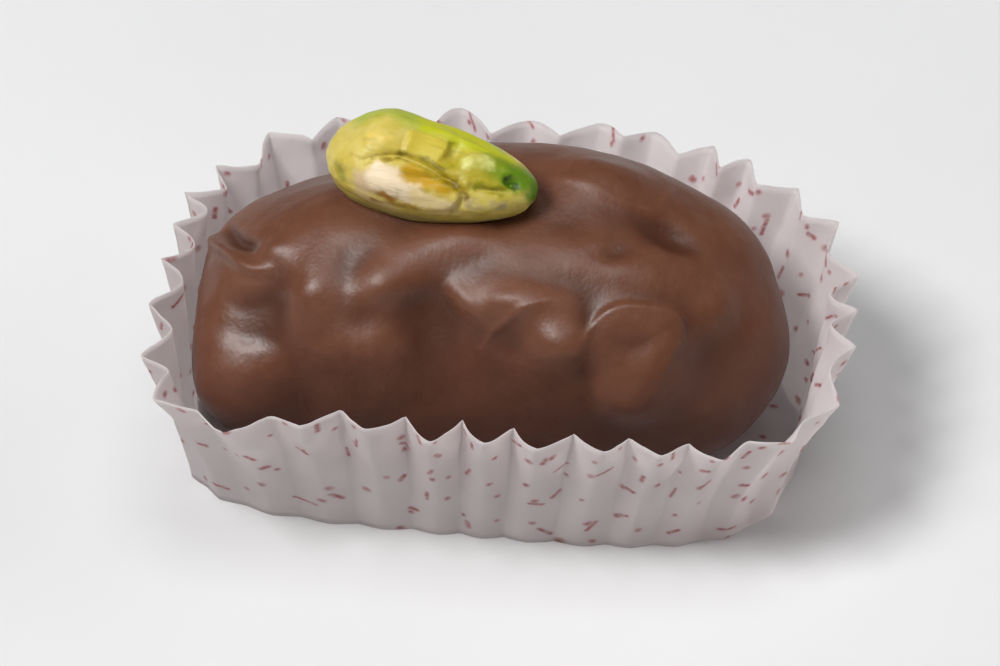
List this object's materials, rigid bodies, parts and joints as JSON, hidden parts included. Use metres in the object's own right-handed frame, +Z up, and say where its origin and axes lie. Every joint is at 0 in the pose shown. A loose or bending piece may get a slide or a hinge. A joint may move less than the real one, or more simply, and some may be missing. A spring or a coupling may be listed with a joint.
{
  "type": "chocolate-covered date in a paper case",
  "caption": "Lumpy date dipped in milk chocolate, topped with a pistachio kernel and served in a fluted oval paper case.",
  "frame": {"origin": "middle of the flat underside of the paper case, on the surface that the case stands on", "axes": "+X along the date towards its broad end, +Z up"},
  "size_m": [0.0551, 0.0402, 0.0295],
  "materials": {
    "paper": "thin white glassine paper with small dull red marks, matte",
    "chocolate": "satin milk chocolate, smooth and unevenly swelling",
    "pistachio": "peeled pistachio kernel, yellow green with deeper green and cream patches"
  },
  "bodies": {
    "root": {"paper_case": "paper", "chocolate_date": "chocolate", "pistachio_kernel": "pistachio"}
  },
  "joints": []
}
